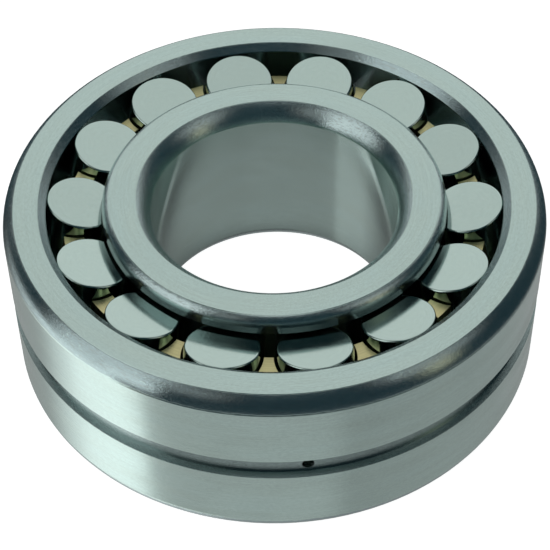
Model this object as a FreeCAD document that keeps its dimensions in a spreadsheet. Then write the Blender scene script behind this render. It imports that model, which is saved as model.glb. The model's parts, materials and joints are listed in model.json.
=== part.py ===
import FreeCAD, Part
import math
import os

import Sketcher

# Spherical roller bearing, 55 mm bore, 120 mm outside diameter, 43 mm wide.
#
# The origin is the bearing centre: the crossing of the bearing axis (Z) and the middle plane, and also
# the centre of the spherical outer raceway. Both roller rows run in that sphere, so the inner ring,
# the guide ring, the cage and the rollers can swivel together about the origin inside the outer ring.
#
# Sections are drawn in the XZ plane, where x is the distance from the bearing axis and y is height.
# A roller's own directions are used for whatever touches it: "across" is measured from the origin
# towards the roller's middle, "along" from there along the roller's axis, outwards.

DRIVING_DIMENSIONS = {
    # outer ring
    "outer_radius": 60.0,
    "bearing_width": 43.0,
    "outer_chamfer_radial": 2.6,
    "outer_chamfer_axial": 4.0,
    "outer_chamfer_curve": 5.2,
    "raceway_radius": 54.18,
    "mouth_radius": 52.05,
    "mouth_chamfer_depth": 1.55,
    "groove_width": 5.5,
    "groove_floor_width": 4.7,
    "groove_depth": 1.35,
    "oil_hole_diameter": 2.6,
    "oil_hole_count": 3,
    "oil_hole_angle": -84.0,
    # inner ring
    "bore_radius": 27.5,
    "bore_chamfer_radial": 3.15,
    "bore_chamfer_axial": 4.0,
    "bore_chamfer_curve": 7.0,
    "rib_radius": 38.1,
    "rib_chamfer_radial": 1.65,
    "rib_chamfer_axial": 2.25,
    "rib_chamfer_curve": 2.5,
    "rib_clearance": 0.8,
    "inner_profile_radius": 54.9,
    "relief_depth": 0.35,
    "relief_width": 0.95,
    # rollers
    "roller_count": 14,
    "roller_radius": 8.35,
    "roller_length": 14.5,
    "roller_profile_radius": 54.0,
    "roller_corner_radius": 0.45,
    "roller_centre_distance": 45.71,
    "contact_angle": 13.7,
    "first_roller_angle": -2.2,
    "roller_clearance": 0.12,
    # guide ring and cage
    "guide_clearance": 0.3,
    "guide_outer_radius": 41.9,
    "cage_outer_radius": 49.7,
    "cage_web_rise": 0.6,
    "pocket_clearance": 0.3,
    "prong_inner_offset": 0.8,
    "prong_outer_offset": 3.45,
    "prong_top": 15.25,
}

LENGTH_TOLERANCE = 0.01
CUT_VOLUME_TOLERANCE = 0.1


class Size:
    """A length or angle that keeps its number beside the expression that ties it to the sheet."""

    def __init__(self, number, expression):
        self.number = number
        self.expression = expression

    def combine(self, other, sign, number):
        right = other.expression if isinstance(other, Size) else repr(other)
        return Size(number, f"({self.expression} {sign} {right})")

    def __add__(self, other):
        return self.combine(other, "+", self.number + number_of(other))

    def __sub__(self, other):
        return self.combine(other, "-", self.number - number_of(other))

    def __mul__(self, other):
        return self.combine(other, "*", self.number * number_of(other))

    def __truediv__(self, other):
        return self.combine(other, "/", self.number / number_of(other))

    def __neg__(self):
        return Size(-self.number, f"(0 - {self.expression})")


def number_of(value):
    return value.number if isinstance(value, Size) else value


def cosine(angle):
    return Size(math.cos(math.radians(angle.number)), f"cos({angle.expression} * 1 deg)")


def sine(angle):
    return Size(math.sin(math.radians(angle.number)), f"sin({angle.expression} * 1 deg)")


def root(value):
    return Size(math.sqrt(value.number), f"sqrt({value.expression})")


def leg(long_side, short_side):
    """The third side of a right-angled triangle."""
    return root(long_side * long_side - short_side * short_side)


def make_sheet(document):
    sheet = document.addObject("Spreadsheet::Sheet", "Dimensions")
    for row, (alias, value) in enumerate(DRIVING_DIMENSIONS.items(), start=1):
        sheet.set(f"A{row}", alias)
        sheet.set(f"B{row}", str(value))
        sheet.setAlias(f"B{row}", alias)
    return sheet


document = FreeCAD.newDocument("SphericalRollerBearing")
sheet = make_sheet(document)
document.recompute()


def size(alias):
    return Size(float(sheet.get(alias)), f"Dimensions.{alias}")


ANGLE = size("contact_angle")
HALF_WIDTH = size("bearing_width") / 2
HALF_LENGTH = size("roller_length") / 2
ROLLER_COUNT = int(sheet.get("roller_count"))
ROLLER_SPACING = 360.0 / ROLLER_COUNT
RACEWAY_BOTTOM = size("roller_centre_distance") - size("roller_radius") - size("roller_clearance")


def tilted(across, along):
    """The section point that lies across and along, in the directions of a roller of the upper row."""
    x = across * cosine(ANGLE) - along * sine(ANGLE)
    y = across * sine(ANGLE) + along * cosine(ANGLE)
    return x, y


def on_plane_along(x, along):
    """The section point at distance x from the bearing axis, on the plane square to a roller's axis."""
    y = x * sine(ANGLE) / cosine(ANGLE) + along / cosine(ANGLE)
    return x, y


def origin_feature(body, role):
    return next(feature for feature in body.Origin.OriginFeatures if feature.Role == role)


def arc_between(start, end, radius, turn):
    """The short arc of the given radius from start to end; turn is 1 anticlockwise, -1 clockwise."""
    chord = end - start
    middle = (start + end) * 0.5
    leftwards = FreeCAD.Vector(-chord.y, chord.x, 0).normalize()
    centre = middle + leftwards * turn * math.sqrt(radius ** 2 - (chord.Length / 2) ** 2)
    first, last = (start, end) if turn > 0 else (end, start)
    first_angle = math.atan2(first.y - centre.y, first.x - centre.x)
    last_angle = math.atan2(last.y - centre.y, last.x - centre.x)
    if last_angle < first_angle:
        last_angle += 2 * math.pi
    circle = Part.Circle(centre, FreeCAD.Vector(0, 0, 1), radius)
    return Part.ArcOfCircle(circle, first_angle, last_angle)


def bind(sketch, kind, geometry, position, value, name):
    """Hold one coordinate of a point at a value that follows the sheet."""
    axis = -2 if kind == "DistanceX" else -1
    if abs(value.number) < 1e-9:
        sketch.addConstraint(Sketcher.Constraint("PointOnObject", geometry, position, axis))
        return
    index = sketch.addConstraint(Sketcher.Constraint(kind, -1, 1, geometry, position, value.number))
    sketch.renameConstraint(index, name)
    sketch.setExpression(f"Constraints.{name}", value.expression)


def draw_section(body, name, outline):
    """A closed sketch in the XZ plane.

    Each entry of the outline is a point (x, y), or a point and the radius and turn of the arc that
    leads from it to the next one.
    """
    sketch = body.newObject("Sketcher::SketchObject", name)
    sketch.AttachmentSupport = [(origin_feature(body, "XZ_Plane"), "")]
    sketch.MapMode = "FlatFace"
    points = [FreeCAD.Vector(entry[0].number, entry[1].number, 0) for entry in outline]
    ends = []
    for index, entry in enumerate(outline):
        start = points[index]
        end = points[(index + 1) % len(points)]
        if len(entry) == 2:
            sketch.addGeometry(Part.LineSegment(start, end), False)
            ends.append((1, 2))
            continue
        radius, turn = entry[2], entry[3]
        sketch.addGeometry(arc_between(start, end, radius.number, turn), False)
        ends.append((1, 2) if turn > 0 else (2, 1))
        constraint = sketch.addConstraint(Sketcher.Constraint("Radius", index, radius.number))
        sketch.renameConstraint(constraint, f"radius_{index}")
        sketch.setExpression(f"Constraints.radius_{index}", radius.expression)
    for index, entry in enumerate(outline):
        following = (index + 1) % len(outline)
        joined = Sketcher.Constraint("Coincident", index, ends[index][1], following, ends[following][0])
        sketch.addConstraint(joined)
        bind(sketch, "DistanceX", index, ends[index][0], entry[0], f"x_{index}")
        bind(sketch, "DistanceY", index, ends[index][0], entry[1], f"y_{index}")
    return sketch


def both_halves(upper):
    """Complete an outline whose upper half runs anticlockwise from the middle plane outwards."""
    lower = []
    for index in range(len(upper) - 1, -1, -1):
        x, y = upper[index][0], upper[index][1]
        curve = upper[index - 1][2:] if index > 0 else ()
        lower.append((x, -y) + tuple(curve))
    return list(upper) + lower


def revolved_body(name, outline):
    body = document.addObject("PartDesign::Body", name)
    body.Label = name
    sketch = draw_section(body, f"{name}_section", outline)
    revolution = body.newObject("PartDesign::Revolution", f"{name}_revolution")
    revolution.Profile = sketch
    revolution.ReferenceAxis = (sketch, ["V_Axis"])
    revolution.Angle = 360
    body.Tip = revolution
    document.recompute()
    return body


def polar_pattern(body, name, feature, count_expression):
    """Repeat a cutting feature round the bearing axis, and check that every copy cuts as much."""
    before = feature.BaseFeature.Shape.Volume
    one_cut = before - feature.Shape.Volume
    pattern = body.newObject("PartDesign::PolarPattern", name)
    pattern.Originals = [feature]
    pattern.Axis = (origin_feature(body, "Z_Axis"), [""])
    pattern.Angle = 360
    pattern.setExpression("Occurrences", count_expression)
    body.Tip = pattern
    document.recompute()
    all_cuts = before - pattern.Shape.Volume
    if one_cut <= 0 or abs(all_cuts - pattern.Occurrences * one_cut) > CUT_VOLUME_TOLERANCE * all_cuts:
        raise RuntimeError(f"{name} does not cut as it should: {all_cuts:.1f} for {one_cut:.1f} each")


def make_outer_ring():
    """One ring with a spherical raceway, an oil groove round the outside and three radial oil holes."""
    radius = size("outer_radius")
    groove_floor = radius - size("groove_depth")
    chamfer_start = HALF_WIDTH - size("outer_chamfer_axial")
    mouth_height = HALF_WIDTH - size("mouth_chamfer_depth")
    upper = [
        (groove_floor, size("groove_floor_width") / 2),
        (radius, size("groove_width") / 2),
        (radius, chamfer_start, size("outer_chamfer_curve"), 1),
        (radius - size("outer_chamfer_radial"), HALF_WIDTH),
        (size("mouth_radius"), HALF_WIDTH),
        (leg(size("raceway_radius"), mouth_height), mouth_height, size("raceway_radius"), -1),
    ]
    body = revolved_body("outer_ring", both_halves(upper))
    sketch = body.newObject("Sketcher::SketchObject", "oil_hole_circle")
    sketch.AttachmentSupport = [(origin_feature(body, "YZ_Plane"), "")]
    sketch.MapMode = "FlatFace"
    hole_radius = size("oil_hole_diameter") / 2
    circle = Part.Circle(FreeCAD.Vector(0, 0, 0), FreeCAD.Vector(0, 0, 1), hole_radius.number)
    sketch.addGeometry(circle, False)
    sketch.addConstraint(Sketcher.Constraint("Coincident", 0, 3, -1, 1))
    sketch.addConstraint(Sketcher.Constraint("Radius", 0, hole_radius.number))
    sketch.renameConstraint(1, "hole_radius")
    sketch.setExpression("Constraints.hole_radius", hole_radius.expression)
    hole = body.newObject("PartDesign::Pocket", "oil_hole")
    hole.Profile = sketch
    hole.Type = "ThroughAll"
    hole.Reversed = True
    document.recompute()
    polar_pattern(body, "oil_holes", hole, "Dimensions.oil_hole_count")
    body.Placement = FreeCAD.Placement(FreeCAD.Vector(), FreeCAD.Rotation(FreeCAD.Vector(0, 0, 1), 0))
    body.setExpression("Placement.Rotation.Angle", "Dimensions.oil_hole_angle * 1 deg")


def make_inner_ring():
    """One ring with two raceways, a plain land between them and a low retaining rib at each side."""
    profile = size("inner_profile_radius")
    raceway_end = RACEWAY_BOTTOM + profile - leg(profile, HALF_LENGTH)
    relief_bottom = raceway_end - size("relief_depth") * 2
    rib_face = HALF_LENGTH + size("rib_clearance")
    relief_start = rib_face - size("relief_width")
    relief_edge = RACEWAY_BOTTOM + profile - leg(profile, relief_start)
    rib = size("rib_radius")
    bore = size("bore_radius")
    upper = [
        tilted(raceway_end, -HALF_LENGTH) + (profile, -1),
        tilted(relief_edge, relief_start),
        tilted(relief_bottom, relief_start + size("relief_depth")),
        tilted(relief_bottom, rib_face),
        on_plane_along(rib, rib_face),
        (rib, HALF_WIDTH - size("rib_chamfer_axial"), size("rib_chamfer_curve"), 1),
        (rib - size("rib_chamfer_radial"), HALF_WIDTH),
        (bore + size("bore_chamfer_radial"), HALF_WIDTH, size("bore_chamfer_curve"), 1),
        (bore, HALF_WIDTH - size("bore_chamfer_axial")),
    ]
    revolved_body("inner_ring", both_halves(upper))


def make_guide_ring():
    """The loose wedge-section ring between the two rows, which the rollers' inner ends run against."""
    flank = -(HALF_LENGTH + size("guide_clearance"))
    profile = size("inner_profile_radius")
    raceway_end = RACEWAY_BOTTOM + profile - leg(profile, HALF_LENGTH)
    land_radius = tilted(raceway_end, -HALF_LENGTH)[0]
    upper = [
        on_plane_along(size("guide_outer_radius"), flank),
        on_plane_along(land_radius + size("guide_clearance"), flank),
    ]
    revolved_body("guide_ring", both_halves(upper))


def make_cage():
    """One ring between the rows with prongs both ways; the pockets are bored along each roller's axis."""
    web_face = -(HALF_LENGTH + size("guide_clearance")) + size("cage_web_rise")
    prong_inside = size("roller_centre_distance") - size("prong_inner_offset")
    prong_outside = size("roller_centre_distance") + size("prong_outer_offset")
    top = size("prong_top")
    cage_radius = size("cage_outer_radius")
    bore = size("guide_outer_radius") + size("guide_clearance")
    shoulder = (prong_outside - cage_radius * cosine(ANGLE)) / sine(ANGLE)
    upper = [
        (cage_radius, shoulder),
        ((prong_outside - top * sine(ANGLE)) / cosine(ANGLE), top),
        ((prong_inside - top * sine(ANGLE)) / cosine(ANGLE), top),
        tilted(prong_inside, web_face),
        on_plane_along(bore, web_face),
    ]
    body = revolved_body("cage", both_halves(upper))
    for row in ("upper", "lower"):
        start = -(HALF_LENGTH + size("guide_clearance"))
        bottom = roller_placement(row, 0).multVec(FreeCAD.Vector(0, 0, row_side(row) * start.number))
        turn = roller_placement(row, 0).Rotation
        if row == "lower":
            turn = turn.multiply(FreeCAD.Rotation(FreeCAD.Vector(1, 0, 0), 180))
        pocket = body.newObject("PartDesign::SubtractiveCylinder", f"{row}_pocket")
        pocket.setExpression("Radius", "Dimensions.roller_radius + Dimensions.pocket_clearance")
        pocket.setExpression("Height", "Dimensions.roller_length * 2")
        pocket.Placement = FreeCAD.Placement(bottom, turn)
        document.recompute()
        polar_pattern(body, f"{row}_pockets", pocket, "Dimensions.roller_count")


def row_side(row):
    return 1 if row == "upper" else -1


def roller_placement(row, index):
    """A roller's place: its axis leans by the contact angle, and the lower row is half a step round."""
    side = row_side(row)
    distance = number_of(size("roller_centre_distance"))
    angle = number_of(ANGLE)
    half_step = 0 if row == "upper" else ROLLER_SPACING / 2
    azimuth = number_of(size("first_roller_angle")) + half_step + index * ROLLER_SPACING
    centre = FreeCAD.Vector(distance * math.cos(math.radians(angle)), 0,
                            side * distance * math.sin(math.radians(angle)))
    lean = FreeCAD.Rotation(FreeCAD.Vector(0, 1, 0), -side * angle)
    round_axis = FreeCAD.Rotation(FreeCAD.Vector(0, 0, 1), azimuth)
    return FreeCAD.Placement(round_axis.multVec(centre), round_axis.multiply(lean))


def make_roller(row, index):
    """One barrel roller, drawn about its own axis and then leant into its row."""
    profile = size("roller_profile_radius")
    end_radius = size("roller_radius") - profile + leg(profile, HALF_LENGTH)
    axis = size("roller_radius") * 0
    outline = [
        (axis, -HALF_LENGTH),
        (end_radius, -HALF_LENGTH, profile, 1),
        (end_radius, HALF_LENGTH),
        (axis, HALF_LENGTH),
    ]
    body = revolved_body(f"roller_{row}_{index + 1:02d}", outline)
    revolution = body.Tip
    rims = [f"Edge{number}" for number, edge in enumerate(revolution.Shape.Edges, start=1)
            if len(edge.Vertexes) == 1 and abs(edge.Curve.Radius - end_radius.number) < LENGTH_TOLERANCE]
    if len(rims) != 2:
        raise RuntimeError(f"{body.Label} has {len(rims)} rims instead of 2")
    corners = body.newObject("PartDesign::Fillet", f"{body.Name}_corners")
    corners.Base = (revolution, rims)
    corners.setExpression("Radius", "Dimensions.roller_corner_radius")
    body.Tip = corners
    body.Placement = roller_placement(row, index)


make_outer_ring()
make_inner_ring()
make_guide_ring()
make_cage()
for row_name in ("upper", "lower"):
    for roller_index in range(ROLLER_COUNT):
        make_roller(row_name, roller_index)
document.recompute()

for item in document.Objects:
    if "Invalid" in item.State or "Error" in item.State:
        raise RuntimeError(f"{item.Name} did not compute: {item.State}")

bodies = [item for item in document.Objects if item.isDerivedFrom("PartDesign::Body")]
for body in bodies:
    if body.Shape.isNull() or not body.Shape.isValid() or len(body.Shape.Solids) != 1:
        raise RuntimeError(f"{body.Label} is not one valid solid")

os.makedirs("parts", exist_ok=True)
for body in bodies:
    body.Shape.exportStep(os.path.join("parts", f"{body.Label}.step"))
    print(f"{body.Label}: {body.Shape.Volume / 1000:.1f} cm3")
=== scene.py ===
import json
import math

import bpy
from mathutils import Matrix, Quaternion, Vector


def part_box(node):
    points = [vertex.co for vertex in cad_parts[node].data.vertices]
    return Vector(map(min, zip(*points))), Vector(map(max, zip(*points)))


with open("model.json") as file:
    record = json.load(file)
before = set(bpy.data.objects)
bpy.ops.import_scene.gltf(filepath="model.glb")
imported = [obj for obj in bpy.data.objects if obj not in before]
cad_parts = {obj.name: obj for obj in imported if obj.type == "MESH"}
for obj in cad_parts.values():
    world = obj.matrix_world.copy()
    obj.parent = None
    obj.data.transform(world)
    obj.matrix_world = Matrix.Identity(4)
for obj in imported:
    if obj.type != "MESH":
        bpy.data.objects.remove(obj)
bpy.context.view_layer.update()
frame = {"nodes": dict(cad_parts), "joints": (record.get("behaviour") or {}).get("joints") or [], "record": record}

# ---------------------------------------------------------------------------------------------
# Sizes, in metres. What the frame states is read from it; the rest are the bearing's own details.
# ---------------------------------------------------------------------------------------------

MM = 0.001
OUTER_LOW, OUTER_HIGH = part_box("outer_ring")
OUTER_RADIUS = OUTER_HIGH.x
HALF_WIDTH = OUTER_HIGH.z
PRONG_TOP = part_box("cage")[1].z
MOUNTS = {mount["name"]: mount for mount in frame["record"]["mounts"]}
BORE_RADIUS = MOUNTS["bore"]["dims"]["r_mm"] * MM

# The first roller of the upper row; the others are turned copies of it.
JOINTS = {joint["name"]: joint for joint in frame["joints"]}
FIRST_PLACE = Vector(JOINTS["roller_upper_01_spin"]["pos_m"])
FIRST_AXIS = Vector(JOINTS["roller_upper_01_spin"]["axis"])
ROLLER_DISTANCE = math.hypot(FIRST_PLACE.x, FIRST_PLACE.y)
ROLLER_HEIGHT = FIRST_PLACE.z
ROLLER_LEAN = math.acos(FIRST_AXIS.z)
FIRST_ANGLE = math.atan2(FIRST_PLACE.y, FIRST_PLACE.x)
ROLLERS = sorted(name for name in frame["nodes"] if name.startswith("roller_"))
ROW_COUNT = len(ROLLERS) // 2
ROLLER_STEP = 2 * math.pi / ROW_COUNT

# Where one finish ends and the next begins.
GROOVE_HALF_WIDTH = 2.75 * MM        # half the oil groove's width at the outside
RACEWAY_RADIUS = 54.18 * MM          # the outer ring's spherical raceway
RIB_RADIUS = 38.1 * MM               # the outside of the inner ring's two ribs
RIB_CORNER = 17.57 * MM              # height at which a rib's inner side meets its raceway
WEB_START = 4.5 * MM                 # out from the bore, where the raceways' finish starts
WEB_END = 5.0 * MM                   # and where it is complete

FLOOR_SIZE = 8.0
FLOOR_GAP = 0.05 * MM                # keeps the floor clear of the faces that stand on it
SHADE_EDGE = 1.0 * MM                # width of the step from shaded to open floor round the bore

# ---------------------------------------------------------------------------------------------
# Finishes: linear colours, roughness from one end of a pattern to the other, and depths of relief
# ---------------------------------------------------------------------------------------------

GROUND_STEEL = (0.545, 0.710, 0.680, 1)
GROUND_STEEL_WARM = (0.565, 0.705, 0.650, 1)
# Two copies of turned steel: the outer ring's is darker, as painted shade, and the inner ring's is brighter, as
# painted light.
TURNED_STEEL_PAINTED_SHADE = (0.425, 0.545, 0.550, 1)
TURNED_STEEL_PAINTED_LIGHT = (0.520, 0.650, 0.645, 1)
TURNED_SCALE = (0.400, 0.490, 0.480, 1)
# Painted shade: darker steel in the outer ring's oil groove.
GROOVE_PAINTED_SHADE = (0.355, 0.450, 0.440, 1)
# Painted shade: dark steel on the outside of the inner ring's ribs, beside the rollers.
RIB_PAINTED_SHADE = (0.260, 0.340, 0.340, 1)
RACE_STEEL = (0.400, 0.520, 0.510, 1)
ROLLER_STEEL = (0.540, 0.690, 0.645, 1)
BRASS_PALE = (0.720, 0.680, 0.360, 1)
# Brass below the prong tops: painted shade, varied by random tarnish.
BRASS_TARNISH_AND_SHADE = (0.480, 0.430, 0.230, 1)

GROUND_ROUGHNESS = (0.13, 0.16)
TURNED_ROUGHNESS = (0.22, 0.15)
RACE_ROUGHNESS = 0.16
ROLLER_ROUGHNESS = (0.08, 0.12)
BRASS_ROUGHNESS = (0.28, 0.38)
SCRATCHED_STEEL_ROUGHNESS = 0.22
SCRATCHED_ROLLER_ROUGHNESS = 0.3
STEEL_SMUDGE_ROUGHNESS = 0.02        # what a smudge of oil adds
ROLLER_SMUDGE_ROUGHNESS = 0.03
BRASS_SMUDGE_ROUGHNESS = 0.08

# How much each pattern darkens and brightens the colour under it.
STEEL_LINE_SHADE = (0.965, 1.02)
STEEL_FLECK_SHADE = (0.96, 1.03)
ROLLER_LINE_SHADE = (0.97, 1.02)
ROLLER_SHADE = (0.95, 1.03)          # from the darkest roller to the brightest
BRASS_LINE_SHADE = (0.88, 1.06)

# Share of the scratches that show on each metal.
STEEL_SCRATCHES = 0.35
ROLLER_SCRATCHES = 0.2
BRASS_SCRATCHES = 0.4

STEEL_LINE_WIDTH = 0.28 * MM
ROLLER_LINE_WIDTH = 0.25 * MM
EDGE_WANDER = 0.15 * MM              # how far the border of the ground metal wanders

# Depth of relief of each metal, and the share of it that each pattern takes.
STEEL_RELIEF = 0.02 * MM
STEEL_LINE_SHARE = 0.08
STEEL_FLECK_SHARE = 1.8
STEEL_FEED_SHARE = 0.3
STEEL_SCRATCH_SHARE = 0.25
ROLLER_RELIEF = 0.01 * MM
ROLLER_LINE_SHARE = 0.05
ROLLER_SCRATCH_SHARE = 0.3
BRASS_RELIEF = 0.017 * MM
BRASS_LINE_SHARE = 0.5
BRASS_SCRATCH_SHARE = 0.4

SMUDGES_PER_METRE = 65.0
SCRATCHES_PER_METRE = (160.0, 1600.0, 1600.0)
SCRATCH_TURN = (0.3, 0.5, 0.7)       # radians about each axis, so that no scratch follows an edge

# name: length round the axis, width across it, noise detail
TURNING_PATTERNS = {
    "Flecks": (0.90 * MM, 0.42 * MM, 3.0),
    "Scale": (2.0 * MM, 0.35 * MM, 4.0),
    "Feed": (17.0 * MM, 0.16 * MM, 1.0),
}

# ---------------------------------------------------------------------------------------------
# Studio and camera
# ---------------------------------------------------------------------------------------------

CARD_GREY = (0.42, 0.42, 0.42, 1)
CARD_ROUGHNESS = 0.9
CARD_BRIGHTNESS = 0.96
SHADED_CLEARNESS = 0.17              # share of the table's light that the metal sees through the bore
SHADED_GLOW = 0.24                   # light from the card in the middle of the bore
SHADED_GLOW_EDGE = 0.05              # and beside the bore's wall
SHADED_GLOW_START = 0.7              # share of the bore's radius where that light starts to fall off

# name: centre, half width, side blur, low, high, edge blur (all in degrees), strength.
# The way round is counted from the front, leftwards positive.
STUDIO_PANELS = {
    "back_ceiling": (180.0, 52.0, 12.0, 20.0, 100.0, 6.0, 0.66),
    "back_wall": (180.0, 45.0, 15.0, 8.0, 43.0, 5.0, 0.76),
    "overhead": (0.0, 181.0, 1.0, 78.0, 100.0, 4.0, 0.62),
    "left_window": (55.0, 12.0, 5.0, -15.0, 26.0, 8.0, 1.16),
    "left_wall": (74.0, 14.0, 10.0, -15.0, 26.0, 8.0, 0.95),
    "left_high_window": (71.0, 24.0, 9.0, 22.0, 60.0, 8.0, 0.92),
    "left_high_wall": (36.0, 14.0, 12.0, 24.0, 58.0, 8.0, 0.30),
    "left_table": (80.0, 19.0, 0.8, -85.0, -8.0, 8.0, 1.28),
    "far_left_table": (92.0, 26.0, 22.0, -85.0, -8.0, 8.0, 0.98),
    "near_table": (0.0, 181.0, 1.0, -100.0, -37.0, 4.0, 0.37),
    "front_table": (18.0, 60.0, 25.0, -100.0, -39.0, 4.0, 0.49),
    "right_high_wall": (-66.0, 20.0, 10.0, 26.0, 60.0, 8.0, 0.42),
}
WARM_LAMP = (-61.0, 5.0, 8.0, -5.0, 30.0, 10.0, 1.0)
WARM_COLOUR = (0.72, 0.64, 0.46, 1)
ROOM_COLOUR = (0.018, 0.040, 0.050)

CAMERA_PLACE = Vector((0.0, -0.27506, 0.28662))
CAMERA_AIM = Vector((-0.000105, 0.0, -0.00506))
CAMERA_ROLL = math.radians(-0.9366)
CAMERA_LENS = 113.434                # millimetres, on a sensor of the width below
CAMERA_SENSOR = 36.0


# ---------------------------------------------------------------------------------------------
# Node helpers
# ---------------------------------------------------------------------------------------------

def connect(tree, node, inputs):
    """Set a node's inputs to values, or link them to sockets."""
    for name, value in inputs.items():
        socket = node.inputs[name]
        if isinstance(value, bpy.types.NodeSocket):
            tree.links.new(value, socket)
        else:
            socket.default_value = value


def add_node(tree, kind, inputs=None, **settings):
    """A new node with its settings and inputs."""
    node = tree.nodes.new(kind)
    for name, value in settings.items():
        setattr(node, name, value)
    connect(tree, node, inputs or {})
    return node


def use_group(tree, group, **inputs):
    """A shared effect placed in a tree; an underscore in an input's name stands for a space."""
    node = tree.nodes.new("ShaderNodeGroup")
    node.node_tree = group
    connect(tree, node, {name.replace("_", " "): value for name, value in inputs.items()})
    return node.outputs


def calculate(tree, operation, *values, clamp=False):
    inputs = dict(enumerate(values))
    return add_node(tree, "ShaderNodeMath", inputs, operation=operation, use_clamp=clamp).outputs[0]


def add(tree, first, second):
    return calculate(tree, "ADD", first, second)


def subtract(tree, first, second):
    return calculate(tree, "SUBTRACT", first, second)


def multiply(tree, first, second):
    return calculate(tree, "MULTIPLY", first, second)


def divide(tree, first, second):
    return calculate(tree, "DIVIDE", first, second)


def distance(tree, first, second):
    """The square root of the sum of two squares."""
    return calculate(tree, "SQRT", add(tree, multiply(tree, first, first), multiply(tree, second, second)))


def ramp(tree, value, low, high, result_low=0.0, result_high=1.0):
    """A smooth step from result_low at low to result_high at high."""
    inputs = {"Value": value, "From Min": low, "From Max": high, "To Min": result_low, "To Max": result_high}
    return add_node(tree, "ShaderNodeMapRange", inputs, interpolation_type="SMOOTHSTEP").outputs[0]


def spread(tree, pattern, low, high):
    """A noise pattern's usual range drawn out to the range from low to high."""
    return ramp(tree, pattern, 0.3, 0.7, low, high)


def mix_values(tree, factor, first, second):
    inputs = {"Factor": factor, 2: first, 3: second}
    return add_node(tree, "ShaderNodeMix", inputs, data_type="FLOAT").outputs[0]


def mix_colours(tree, factor, first, second, blend="MIX"):
    inputs = {0: factor, 6: first, 7: second}
    return add_node(tree, "ShaderNodeMix", inputs, data_type="RGBA", blend_type=blend).outputs[2]


def combine(tree, x, y, z):
    return add_node(tree, "ShaderNodeCombineXYZ", {"X": x, "Y": y, "Z": z}).outputs[0]


def separate(tree, vector):
    return add_node(tree, "ShaderNodeSeparateXYZ", {0: vector}).outputs


def shade_colour(tree, colour, brightness):
    """A colour made brighter or darker by one number."""
    grey = combine(tree, brightness, brightness, brightness)
    return mix_colours(tree, 1.0, colour, grey, "MULTIPLY")


def noise(tree, vector, scale, detail=2.0, roughness=0.5):
    inputs = {"Vector": vector, "Scale": scale, "Detail": detail, "Roughness": roughness}
    return add_node(tree, "ShaderNodeTexNoise", inputs).outputs[0]


def object_position(tree):
    return add_node(tree, "ShaderNodeTexCoord").outputs["Object"]


def new_group(name, inputs, outputs):
    """An empty node group with named sockets, which hold numbers unless a type follows after a colon."""
    group = bpy.data.node_groups.new(name, "ShaderNodeTree")
    for direction, sockets in (("INPUT", inputs), ("OUTPUT", outputs)):
        for socket in sockets:
            label, _, kind = socket.partition(":")
            kind = kind or "Float"
            group.interface.new_socket(label, in_out=direction, socket_type=f"NodeSocket{kind}")
    entry = group.nodes.new("NodeGroupInput")
    leave = group.nodes.new("NodeGroupOutput")
    return group, entry.outputs, leave.inputs


# ---------------------------------------------------------------------------------------------
# Shared effects
# ---------------------------------------------------------------------------------------------

def make_ring_position():
    """Where a point of a turned ring is: distance from the bearing axis, height, and way round."""
    group, _, out = new_group("Ring Position", [], ["Radius", "Height", "Around"])
    x, y, z = separate(group, object_position(group))
    group.links.new(distance(group, x, y), out["Radius"])
    group.links.new(z, out["Height"])
    group.links.new(calculate(group, "ARCTAN2", y, x), out["Around"])
    return group


def make_grind_lines():
    """Fine lines that run round a ground surface, with slower patches of brighter and duller metal."""
    group, given, out = new_group("Grind Lines", ["Across", "Around", "Line Width"], ["Lines", "Patches"])
    across = divide(group, given["Across"], given["Line Width"])
    cosine = calculate(group, "COSINE", given["Around"])
    sine = calculate(group, "SINE", given["Around"])
    line_change = 3.0        # how much a line and a patch change on the way round
    patch_change = 2.0
    patches_per_line = 0.06
    fine_place = combine(group, multiply(group, cosine, line_change), multiply(group, sine, line_change),
                         across)
    slow_place = combine(group, multiply(group, cosine, patch_change), multiply(group, sine, patch_change),
                         multiply(group, across, patches_per_line))
    group.links.new(noise(group, fine_place, 1.0, 3.0, 0.65), out["Lines"])
    group.links.new(noise(group, slow_place, 1.3, 2.0), out["Patches"])
    return group


def make_turning_marks():
    """Rough turning and heat-treatment scale: short flecks, small dark blotches and faint feed lines."""
    group, given, out = new_group("Turning Marks", ["Radius", "Height", "Around"], list(TURNING_PATTERNS))
    arc = multiply(group, given["Around"], OUTER_RADIUS)
    for name, (length, width, detail) in TURNING_PATTERNS.items():
        place = combine(group, divide(group, arc, length), divide(group, given["Radius"], width),
                        divide(group, given["Height"], width))
        group.links.new(noise(group, place, 1.0, detail, 0.65), out[name])
    return group


def make_handling():
    """Smudges of thin oil and a few small scratches from handling."""
    group, given, out = new_group("Handling", ["Scratch Amount"], ["Smudge", "Scratch"])
    place = object_position(group)
    smudge = noise(group, place, SMUDGES_PER_METRE, 3.0, 0.6)
    stretch = {"Vector": place, "Rotation": SCRATCH_TURN, "Scale": SCRATCHES_PER_METRE}
    stretched = add_node(group, "ShaderNodeMapping", stretch).outputs[0]
    streak = noise(group, stretched, 1.0, 1.0)
    threshold = subtract(group, 0.90, multiply(group, given["Scratch Amount"], 0.1))
    scratch = ramp(group, streak, threshold, add(group, threshold, 0.04))
    group.links.new(ramp(group, smudge, 0.35, 0.7), out["Smudge"])
    group.links.new(scratch, out["Scratch"])
    return group


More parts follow.
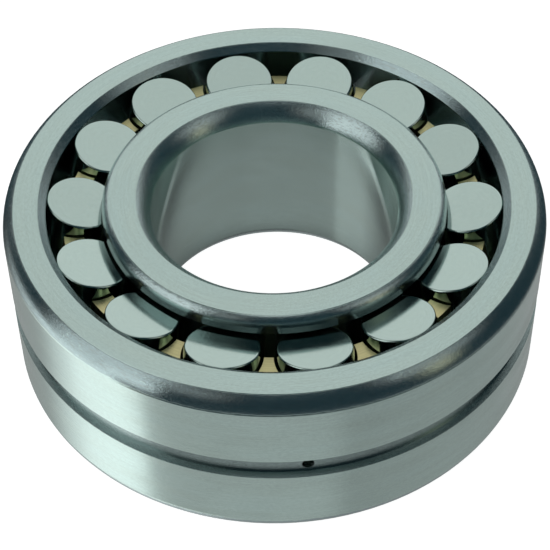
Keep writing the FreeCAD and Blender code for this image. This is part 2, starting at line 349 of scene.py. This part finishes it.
def make_roller_position():
    """Where a point of a roller is in its own directions, found by turning it back to the first roller."""
    group, _, out = new_group("Roller Position", [], ["From Axis", "Along", "Number", "Place:Vector"])
    place = object_position(group)
    x, y, z = separate(group, place)
    below = calculate(group, "LESS_THAN", z, 0.0)
    half_step = multiply(group, below, ROLLER_STEP / 2)
    around = subtract(group, calculate(group, "ARCTAN2", y, x), FIRST_ANGLE)
    steps = divide(group, subtract(group, around, half_step), ROLLER_STEP)
    number = calculate(group, "ROUND", steps)
    centre_angle = add(group, multiply(group, number, ROLLER_STEP), half_step)
    turn_back = multiply(group, add(group, centre_angle, FIRST_ANGLE), -1.0)
    turned = add_node(group, "ShaderNodeVectorRotate", {"Vector": place, "Angle": turn_back},
                      rotation_type="Z_AXIS").outputs[0]
    turned_x, turned_y, turned_z = separate(group, turned)
    outwards = subtract(group, turned_x, ROLLER_DISTANCE)
    upwards = subtract(group, calculate(group, "ABSOLUTE", turned_z), ROLLER_HEIGHT)
    across = add(group, multiply(group, outwards, math.cos(ROLLER_LEAN)),
                 multiply(group, upwards, math.sin(ROLLER_LEAN)))
    along = subtract(group, multiply(group, upwards, math.cos(ROLLER_LEAN)),
                     multiply(group, outwards, math.sin(ROLLER_LEAN)))
    group.links.new(distance(group, across, turned_y), out["From Axis"])
    group.links.new(along, out["Along"])
    row_number = add(group, number, multiply(group, below, float(ROW_COUNT)))
    group.links.new(row_number, out["Number"])
    group.links.new(combine(group, across, turned_y, along), out["Place"])
    return group


# ---------------------------------------------------------------------------------------------
# Where each finish is, and where painted shade darkens the turned steel
# ---------------------------------------------------------------------------------------------

def side_faces(tree, level, wander):
    near_face = add(tree, level, wander)
    return ramp(tree, near_face, HALF_WIDTH - 0.12 * MM, HALF_WIDTH - 0.06 * MM)


def outer_ring_ground(tree, radius, level, wander):
    """The side faces, and the outside cylinder clear of the oil groove."""
    near_outside = add(tree, radius, wander)
    outside = ramp(tree, near_outside, OUTER_RADIUS - 0.10 * MM, OUTER_RADIUS - 0.05 * MM)
    clear_of_groove = ramp(tree, level, GROOVE_HALF_WIDTH - 0.08 * MM, GROOVE_HALF_WIDTH - 0.03 * MM)
    outside = multiply(tree, outside, clear_of_groove)
    return calculate(tree, "MAXIMUM", side_faces(tree, level, wander), outside)


def outer_ring_painted_shade(tree, radius, level):
    """Painted shade: the oil groove and the holes in it, darkened."""
    under_outside = ramp(tree, radius, OUTER_RADIUS - 0.12 * MM, OUTER_RADIUS - 0.06 * MM, 1.0, 0.0)
    in_groove = ramp(tree, level, GROOVE_HALF_WIDTH, GROOVE_HALF_WIDTH + 0.05 * MM, 1.0, 0.0)
    return multiply(tree, under_outside, in_groove)


def outer_ring_race(tree, radius, level):
    """Everything on or inside the sphere of the raceway."""
    from_centre = distance(tree, radius, level)
    return ramp(tree, from_centre, RACEWAY_RADIUS + 0.05 * MM, RACEWAY_RADIUS + 0.2 * MM, 1.0, 0.0)


def inner_ring_ground(tree, radius, level, wander):
    """The side faces and the bore."""
    near_bore = add(tree, radius, wander)
    bore = ramp(tree, near_bore, BORE_RADIUS + 0.08 * MM, BORE_RADIUS + 0.16 * MM, 1.0, 0.0)
    return calculate(tree, "MAXIMUM", side_faces(tree, level, wander), bore)


def inner_ring_painted_shade(tree, radius, level):
    """Painted shade: the outside of each rib, darkened as if shaded in the gap beside the rollers."""
    return ramp(tree, radius, RIB_RADIUS - 0.25 * MM, RIB_RADIUS - 0.05 * MM)


def inner_ring_race(tree, radius, level):
    """Everything between the ribs, clear of the bore."""
    outside_bore = ramp(tree, radius, BORE_RADIUS + WEB_START, BORE_RADIUS + WEB_END)
    between_ribs = ramp(tree, level, RIB_CORNER - 0.1 * MM, RIB_CORNER, 1.0, 0.0)
    return multiply(tree, outside_bore, between_ribs)


# ---------------------------------------------------------------------------------------------
# Materials
# ---------------------------------------------------------------------------------------------

def new_metal(name):
    material = bpy.data.materials.new(name)
    material.use_nodes = True
    tree = material.node_tree
    shader = tree.nodes["Principled BSDF"]
    shader.inputs["Metallic"].default_value = 1.0
    return material, tree, shader


def stretch_reflections(tree, shader):
    """Grain that runs round the bearing axis: sharp reflections round it, drawn out along it."""
    shader.inputs["Anisotropic"].default_value = 1.0
    shader.inputs["Anisotropic Rotation"].default_value = 0.25
    x, y, _ = separate(tree, object_position(tree))
    round_axis = combine(tree, multiply(tree, y, -1.0), x, 0.0)
    tangent = add_node(tree, "ShaderNodeVectorTransform", {"Vector": round_axis},
                       vector_type="VECTOR", convert_from="OBJECT", convert_to="WORLD").outputs[0]
    tree.links.new(tangent, shader.inputs["Tangent"])


def finish_metal(tree, shader, colour, roughness, height, depth):
    bump = add_node(tree, "ShaderNodeBump", {"Height": height, "Strength": 1.0, "Distance": depth})
    tree.links.new(bump.outputs[0], shader.inputs["Normal"])
    tree.links.new(colour, shader.inputs["Base Color"])
    tree.links.new(roughness, shader.inputs["Roughness"])


def ring_finish(name, groups, ground_mask, race_mask, painted_shade_mask, painted_shade_colour, turned_steel_painted_light_and_shade):
    """Steel of a ring: ground where ground_mask says, honed on the raceway, turned everywhere else. The turned
    steel is a brighter copy (painted light) or a darker copy (painted shade) given per ring, and a further mask
    lays painted shade over it.
    """
    material, tree, shader = new_metal(name)
    stretch_reflections(tree, shader)
    radius, height, around = use_group(tree, groups["ring_position"])
    level = calculate(tree, "ABSOLUTE", height)
    lines, patches = use_group(tree, groups["grind_lines"], Across=add(tree, radius, height), Around=around,
                               Line_Width=STEEL_LINE_WIDTH)
    flecks, scale, feed = use_group(tree, groups["turning_marks"], Radius=radius, Height=height,
                                    Around=around)
    smudge, scratch = use_group(tree, groups["handling"], Scratch_Amount=STEEL_SCRATCHES)
    wander = multiply(tree, subtract(tree, scale, 0.5), EDGE_WANDER)
    ground = ground_mask(tree, radius, level, wander)
    race = race_mask(tree, radius, level)

    ground_colour = mix_colours(tree, patches, GROUND_STEEL, GROUND_STEEL_WARM)
    line_shade = spread(tree, lines, *STEEL_LINE_SHADE)
    fleck_shade = spread(tree, flecks, *STEEL_FLECK_SHADE)
    ground_colour = shade_colour(tree, ground_colour, multiply(tree, line_shade, fleck_shade))
    # The turned steel colour is a painted-light copy on the inner ring and a painted-shade copy on the outer ring.
    turned_colour = mix_colours(tree, ramp(tree, scale, 0.45, 0.70), turned_steel_painted_light_and_shade, TURNED_SCALE)
    # The bright flecks are ground metal showing through the scale, and also painted glints.
    flecks_and_painted_glints = ramp(tree, flecks, 0.60, 0.72, 0.0, 0.9)
    turned_colour = mix_colours(tree, flecks_and_painted_glints, turned_colour, GROUND_STEEL)
    # Painted shade on the turned steel: the outer ring's oil groove and the outside of the inner ring's ribs are
    # darkened.
    turned_colour = mix_colours(tree, painted_shade_mask(tree, radius, level), turned_colour, painted_shade_colour)
    colour = mix_colours(tree, ground, turned_colour, ground_colour)
    colour = mix_colours(tree, race, colour, RACE_STEEL)

    ground_roughness = add(tree, spread(tree, patches, *GROUND_ROUGHNESS),
                           multiply(tree, smudge, STEEL_SMUDGE_ROUGHNESS))
    turned_roughness = ramp(tree, flecks, 0.35, 0.7, *TURNED_ROUGHNESS)
    roughness = mix_values(tree, ground, turned_roughness, ground_roughness)
    roughness = mix_values(tree, race, roughness, RACE_ROUGHNESS)
    roughness = mix_values(tree, scratch, roughness, SCRATCHED_STEEL_ROUGHNESS)

    ground_relief = multiply(tree, lines, STEEL_LINE_SHARE)
    turned_relief = add(tree, multiply(tree, flecks, STEEL_FLECK_SHARE),
                        multiply(tree, feed, STEEL_FEED_SHARE))
    relief = mix_values(tree, ground, turned_relief, ground_relief)
    relief = subtract(tree, relief, multiply(tree, scratch, STEEL_SCRATCH_SHARE))
    relief = mix_values(tree, race, relief, ground_relief)
    finish_metal(tree, shader, colour, roughness, relief, STEEL_RELIEF)
    return material


def roller_finish(groups):
    """Fine-ground rollers: faint rings on the ends, a polished barrel, and small differences of shade."""
    material, tree, shader = new_metal("roller_ground_steel")
    from_axis, along, number, place = use_group(tree, groups["roller_position"])
    x, y, _ = separate(tree, place)
    around = calculate(tree, "ARCTAN2", y, x)
    lines, patches = use_group(tree, groups["grind_lines"], Across=add(tree, from_axis, along),
                               Around=around, Line_Width=ROLLER_LINE_WIDTH)
    smudge, scratch = use_group(tree, groups["handling"], Scratch_Amount=ROLLER_SCRATCHES)
    shade = add_node(tree, "ShaderNodeTexWhiteNoise", {"W": number}, noise_dimensions="1D").outputs["Value"]

    brightness = multiply(tree, spread(tree, lines, *ROLLER_LINE_SHADE),
                          ramp(tree, shade, 0.0, 1.0, *ROLLER_SHADE))
    colour = mix_colours(tree, patches, ROLLER_STEEL, GROUND_STEEL_WARM)
    colour = shade_colour(tree, colour, brightness)
    roughness = add(tree, spread(tree, patches, *ROLLER_ROUGHNESS),
                    multiply(tree, smudge, ROLLER_SMUDGE_ROUGHNESS))
    roughness = mix_values(tree, scratch, roughness, SCRATCHED_ROLLER_ROUGHNESS)
    relief = subtract(tree, multiply(tree, lines, ROLLER_LINE_SHARE),
                      multiply(tree, scratch, ROLLER_SCRATCH_SHARE))
    finish_metal(tree, shader, colour, roughness, relief, ROLLER_RELIEF)
    return material


def brass_finish(groups):
    """Machined brass: cutter marks, paler on the prong tops, and browner below them, which is painted shade broken
    up by random tarnish patches.
    """
    material, tree, shader = new_metal("machined_brass")
    radius, height, around = use_group(tree, groups["ring_position"])
    lines, patches = use_group(tree, groups["grind_lines"], Across=radius, Around=around,
                               Line_Width=STEEL_LINE_WIDTH)
    smudge, scratch = use_group(tree, groups["handling"], Scratch_Amount=BRASS_SCRATCHES)
    level = calculate(tree, "ABSOLUTE", height)

    # Painted shade: the brass darkens below the prong tops, where the prong sides and pockets are shaded.
    depth = ramp(tree, level, PRONG_TOP - 0.5 * MM, PRONG_TOP - 0.05 * MM, 0.75, 0.1)
    tarnish_patches = ramp(tree, patches, 0.3, 0.65, 0.6, 1.2)
    tarnish_and_painted_shade = calculate(tree, "MULTIPLY", depth, tarnish_patches, clamp=True)
    colour = mix_colours(tree, tarnish_and_painted_shade, BRASS_PALE, BRASS_TARNISH_AND_SHADE)
    colour = shade_colour(tree, colour, spread(tree, lines, *BRASS_LINE_SHADE))
    roughness = add(tree, spread(tree, lines, *BRASS_ROUGHNESS),
                    multiply(tree, smudge, BRASS_SMUDGE_ROUGHNESS))
    relief = subtract(tree, multiply(tree, lines, BRASS_LINE_SHARE),
                      multiply(tree, scratch, BRASS_SCRATCH_SHARE))
    finish_metal(tree, shader, colour, roughness, relief, BRASS_RELIEF)
    return material


def dress(node_name, material):
    node = frame["nodes"][node_name]
    for slot in node.material_slots:
        slot.material = material


# ---------------------------------------------------------------------------------------------
# Floor, light and camera
# ---------------------------------------------------------------------------------------------

def floor_finish():
    """A pale card. The metal sees the studio through it, dimmed in the bore, where the card is shaded."""
    material = bpy.data.materials.new("pale_floor")
    material.use_nodes = True
    tree = material.node_tree
    card = tree.nodes["Principled BSDF"]
    card.inputs["Base Color"].default_value = CARD_GREY
    card.inputs["Roughness"].default_value = CARD_ROUGHNESS
    card.inputs["Specular IOR Level"].default_value = 0.0
    card.inputs["Emission Color"].default_value = (1, 1, 1, 1)
    card.inputs["Emission Strength"].default_value = CARD_BRIGHTNESS
    x, y, _ = separate(tree, object_position(tree))
    radius = distance(tree, x, y)
    clearness = ramp(tree, radius, BORE_RADIUS, BORE_RADIUS + SHADE_EDGE, SHADED_CLEARNESS, 1.0)
    clear_colour = combine(tree, clearness, clearness, clearness)
    clear = add_node(tree, "ShaderNodeBsdfTransparent", {"Color": clear_colour}).outputs[0]
    glow = ramp(tree, radius, SHADED_GLOW_START * BORE_RADIUS, BORE_RADIUS, SHADED_GLOW, SHADED_GLOW_EDGE)
    glow = mix_values(tree, calculate(tree, "GREATER_THAN", radius, BORE_RADIUS), glow, 0.0)
    shaded_card = add_node(tree, "ShaderNodeEmission", {"Strength": glow}).outputs[0]
    mirrored = add_node(tree, "ShaderNodeAddShader", {0: clear, 1: shaded_card}).outputs[0]
    seen_in_metal = add_node(tree, "ShaderNodeLightPath").outputs["Is Glossy Ray"]
    either = {0: seen_in_metal, 1: card.outputs[0], 2: mirrored}
    mixed = add_node(tree, "ShaderNodeMixShader", either).outputs[0]
    tree.links.new(mixed, tree.nodes["Material Output"].inputs["Surface"])
    return material


def make_floor():
    bpy.ops.object.select_all(action="DESELECT")
    bpy.ops.mesh.primitive_plane_add(size=FLOOR_SIZE, location=(0, 0, 0))
    floor = bpy.context.object
    floor.name = "floor"
    floor.data.transform(floor.matrix_world)
    for vertex in floor.data.vertices:
        vertex.co.z = OUTER_LOW.z - FLOOR_GAP
    floor.data.materials.append(floor_finish())


def make_panel_group():
    """One studio panel in the surroundings, with soft edges."""
    names = ["Round", "Rise", "Centre", "Half Width", "Side Blur", "Low", "High", "Edge Blur", "Strength"]
    group, given, out = new_group("Studio Panel", names, ["Light"])
    away = calculate(group, "ABSOLUTE", subtract(group, given["Round"], given["Centre"]))
    wrapped = calculate(group, "MINIMUM", away, subtract(group, 360.0, away))
    side = divide(group, subtract(group, given["Half Width"], wrapped), given["Side Blur"])
    low = divide(group, subtract(group, given["Rise"], given["Low"]), given["Edge Blur"])
    high = divide(group, subtract(group, given["High"], given["Rise"]), given["Edge Blur"])
    mask = multiply(group, ramp(group, side, -1.0, 1.0), ramp(group, low, -1.0, 1.0))
    mask = multiply(group, mask, ramp(group, high, -1.0, 1.0))
    group.links.new(multiply(group, mask, given["Strength"]), out["Light"])
    return group


def make_surroundings():
    """A dark room round the table, with soft panels behind, above and to the left."""
    world = bpy.data.worlds.new("studio")
    bpy.context.scene.world = world
    world.use_nodes = True
    tree = world.node_tree
    panel = make_panel_group()
    x, y, z = separate(tree, add_node(tree, "ShaderNodeTexCoord").outputs["Generated"])
    leftwards = multiply(tree, x, -1.0)
    forwards = multiply(tree, y, -1.0)
    degrees = 180.0 / math.pi
    way_round = multiply(tree, calculate(tree, "ARCTAN2", leftwards, forwards), degrees)
    rise = multiply(tree, calculate(tree, "ARCSINE", z), degrees)

    def panel_light(centre, half_width, side_blur, low, high, edge_blur, strength):
        outputs = use_group(tree, panel, Round=way_round, Rise=rise, Centre=centre, Half_Width=half_width,
                            Side_Blur=side_blur, Low=low, High=high, Edge_Blur=edge_blur,
                            Strength=strength)
        return outputs[0]

    light = 0.0
    for numbers in STUDIO_PANELS.values():
        light = calculate(tree, "MAXIMUM", light, panel_light(*numbers))
    colour = combine(tree, *(calculate(tree, "MAXIMUM", light, dim) for dim in ROOM_COLOUR))
    colour = mix_colours(tree, panel_light(*WARM_LAMP), colour, WARM_COLOUR)
    tree.links.new(colour, tree.nodes["Background"].inputs["Color"])


def make_camera():
    camera_data = bpy.data.cameras.new("camera")
    camera = bpy.data.objects.new("camera", camera_data)
    bpy.context.scene.collection.objects.link(camera)
    camera.location = CAMERA_PLACE
    facing = (CAMERA_AIM - CAMERA_PLACE).to_track_quat("-Z", "Y")
    camera.rotation_mode = "QUATERNION"
    camera.rotation_quaternion = facing @ Quaternion((0, 0, 1), CAMERA_ROLL)
    camera_data.sensor_width = CAMERA_SENSOR
    camera_data.lens = CAMERA_LENS
    bpy.context.scene.camera = camera


# ---------------------------------------------------------------------------------------------
# The bearing
# ---------------------------------------------------------------------------------------------

bpy.context.scene.view_settings.view_transform = "Standard"
make_camera()
make_floor()
make_surroundings()

effect_groups = {
    "ring_position": make_ring_position(),
    "grind_lines": make_grind_lines(),
    "turning_marks": make_turning_marks(),
    "handling": make_handling(),
    "roller_position": make_roller_position(),
}
outer_steel = ring_finish("outer_ring_steel_finish", effect_groups, outer_ring_ground, outer_ring_race,
                          outer_ring_painted_shade, GROOVE_PAINTED_SHADE, TURNED_STEEL_PAINTED_SHADE)
inner_steel = ring_finish("inner_ring_steel_finish", effect_groups, inner_ring_ground, inner_ring_race,
                          inner_ring_painted_shade, RIB_PAINTED_SHADE, TURNED_STEEL_PAINTED_LIGHT)
dress("outer_ring", outer_steel)
dress("inner_ring", inner_steel)
dress("guide_ring", inner_steel)
dress("cage", brass_finish(effect_groups))
roller_steel = roller_finish(effect_groups)
for roller in ROLLERS:
    dress(roller, roller_steel)
